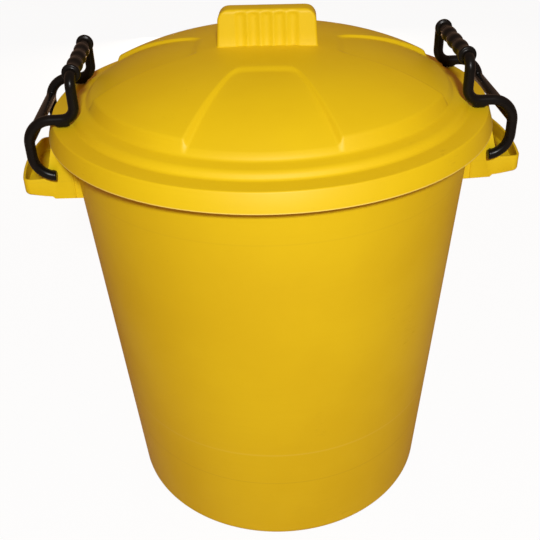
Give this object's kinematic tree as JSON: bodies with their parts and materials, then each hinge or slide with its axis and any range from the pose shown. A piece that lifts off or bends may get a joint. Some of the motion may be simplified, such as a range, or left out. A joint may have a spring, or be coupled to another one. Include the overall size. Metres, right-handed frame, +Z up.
{
  "type": "grit salt bin",
  "caption": "Round tapered lidded bin for grit or salt, with a domed lid with sunken panels and a block knob, pocket lugs, and clip handles that swing over the lid's edge.",
  "frame": {"origin": "on the tub's axis at the ground, under the centre of the bounding box", "axes": "+Z up the tub's axis; the lugs and handles lie on +X and -X; the handles' hinge axes run along Y; -Y is the front"},
  "size_m": [0.616, 0.54, 0.664],
  "materials": {
    "yellow_plastic": "satin moulded yellow plastic",
    "black_plastic": "semi-gloss moulded black plastic"
  },
  "bodies": {
    "tub": {"tub": "yellow_plastic"},
    "lid": {"lid": "yellow_plastic"},
    "left_handle": {"left_handle": "black_plastic"},
    "right_handle": {"right_handle": "black_plastic"}
  },
  "joints": [
    {"name": "lid_lift", "type": "slide", "parent": "tub", "child": "lid", "axis": [0, 0, 1], "range_m": [0, 0.0197]},
    {"name": "left_handle_swing", "type": "hinge", "parent": "tub", "child": "left_handle", "pos_m": [-0.263, 0, 0.4973], "axis": [0, -1, 0], "range_deg": [0, 66]},
    {"name": "right_handle_swing", "type": "hinge", "parent": "tub", "child": "right_handle", "pos_m": [0.263, 0, 0.4973], "axis": [0, 1, 0], "range_deg": [0, 66]}
  ],
  "couplings": [
    {"joint": "left_handle_swing", "follows": "lid_lift", "rad_per_m": 58.47},
    {"joint": "right_handle_swing", "follows": "lid_lift", "rad_per_m": 58.47}
  ]
}
